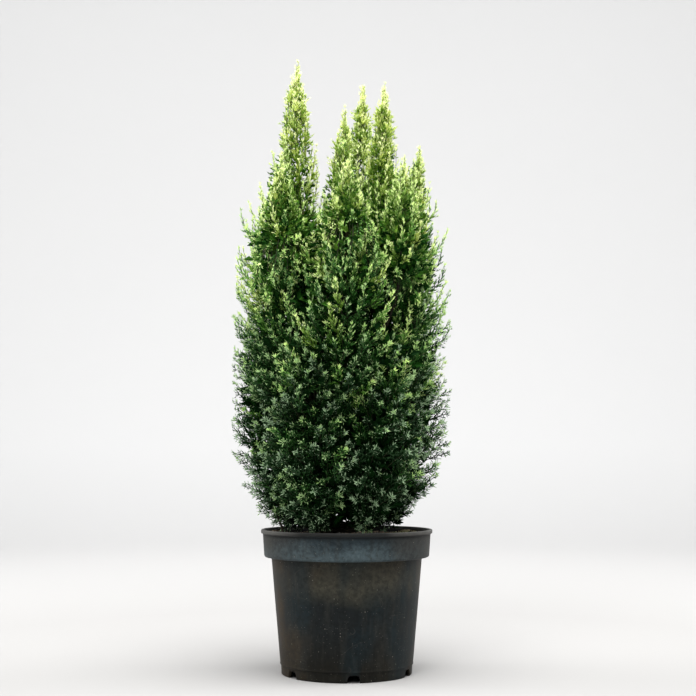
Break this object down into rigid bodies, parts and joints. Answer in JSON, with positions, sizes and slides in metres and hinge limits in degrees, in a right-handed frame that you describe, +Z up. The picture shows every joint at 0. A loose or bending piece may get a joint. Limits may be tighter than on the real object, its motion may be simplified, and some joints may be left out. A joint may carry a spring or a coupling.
{
  "type": "potted lawson cypress",
  "caption": "Dense upright evergreen conifer with several pointed peaks and feathery sprays, golden green above and blue green below, growing in a round black nursery pot.",
  "frame": {"origin": "centre of the pot's flat underside, on the ground", "axes": "+Z up along the pot's axis to the crown's tips, -Y towards the side that the picture shows, +X to that view's right"},
  "size_m": [0.3609, 0.3723, 1.016],
  "materials": {
    "pot_plastic": "dusty matt black moulded plastic, blue grey on the collar and olive brown at the sides",
    "compost": "damp dark potting compost with fine bits of bark and a little moss",
    "bark": "thin red brown bark, finely fissured",
    "foliage_low": "flat sprays of scale leaves, deep blue green",
    "foliage_middle": "flat sprays of scale leaves, mid green with lighter tips",
    "foliage_peak": "flat sprays of scale leaves, pale golden green"
  },
  "bodies": {
    "root": {"bough_low_back_left": "bark", "bough_low_back_right": "bark", "bough_low_front_left": "bark", "bough_low_front_right": "bark", "bough_low_left": "bark", "bough_low_right": "bark", "bough_middle_back": "bark", "bough_middle_back_left": "bark", "bough_middle_back_right": "bark", "bough_middle_front": "bark", "bough_middle_front_left": "bark", "bough_middle_front_right": "bark", "bough_peak_back": "bark", "bough_peak_back_left": "bark", "bough_peak_back_right": "bark", "bough_peak_centre": "bark", "bough_peak_far_right": "bark", "bough_peak_front": "bark", "bough_peak_front_left": "bark", "bough_peak_front_right": "bark", "bough_peak_inner_left": "bark", "bough_peak_right": "bark", "foliage_low_back_left": "foliage_low", "foliage_low_back_right": "foliage_low", "foliage_low_front_left": "foliage_low", "foliage_low_front_right": "foliage_low", "foliage_low_left": "foliage_low", "foliage_low_right": "foliage_low", "foliage_middle_back": "foliage_middle", "foliage_middle_back_left": "foliage_middle", "foliage_middle_back_right": "foliage_middle", "foliage_middle_front": "foliage_middle", "foliage_middle_front_left": "foliage_middle", "foliage_middle_front_right": "foliage_middle", "foliage_peak_back": "foliage_peak", "foliage_peak_back_left": "foliage_peak", "foliage_peak_back_right": "foliage_peak", "foliage_peak_centre": "foliage_peak", "foliage_peak_far_right": "foliage_peak", "foliage_peak_front": "foliage_peak", "foliage_peak_front_left": "foliage_peak", "foliage_peak_front_right": "foliage_peak", "foliage_peak_inner_left": "foliage_peak", "foliage_peak_left": "foliage_peak", "foliage_peak_right": "foliage_peak", "pot": "pot_plastic", "root_ball": "compost", "side_stem": "bark", "trunk": "bark"}
  },
  "joints": []
}
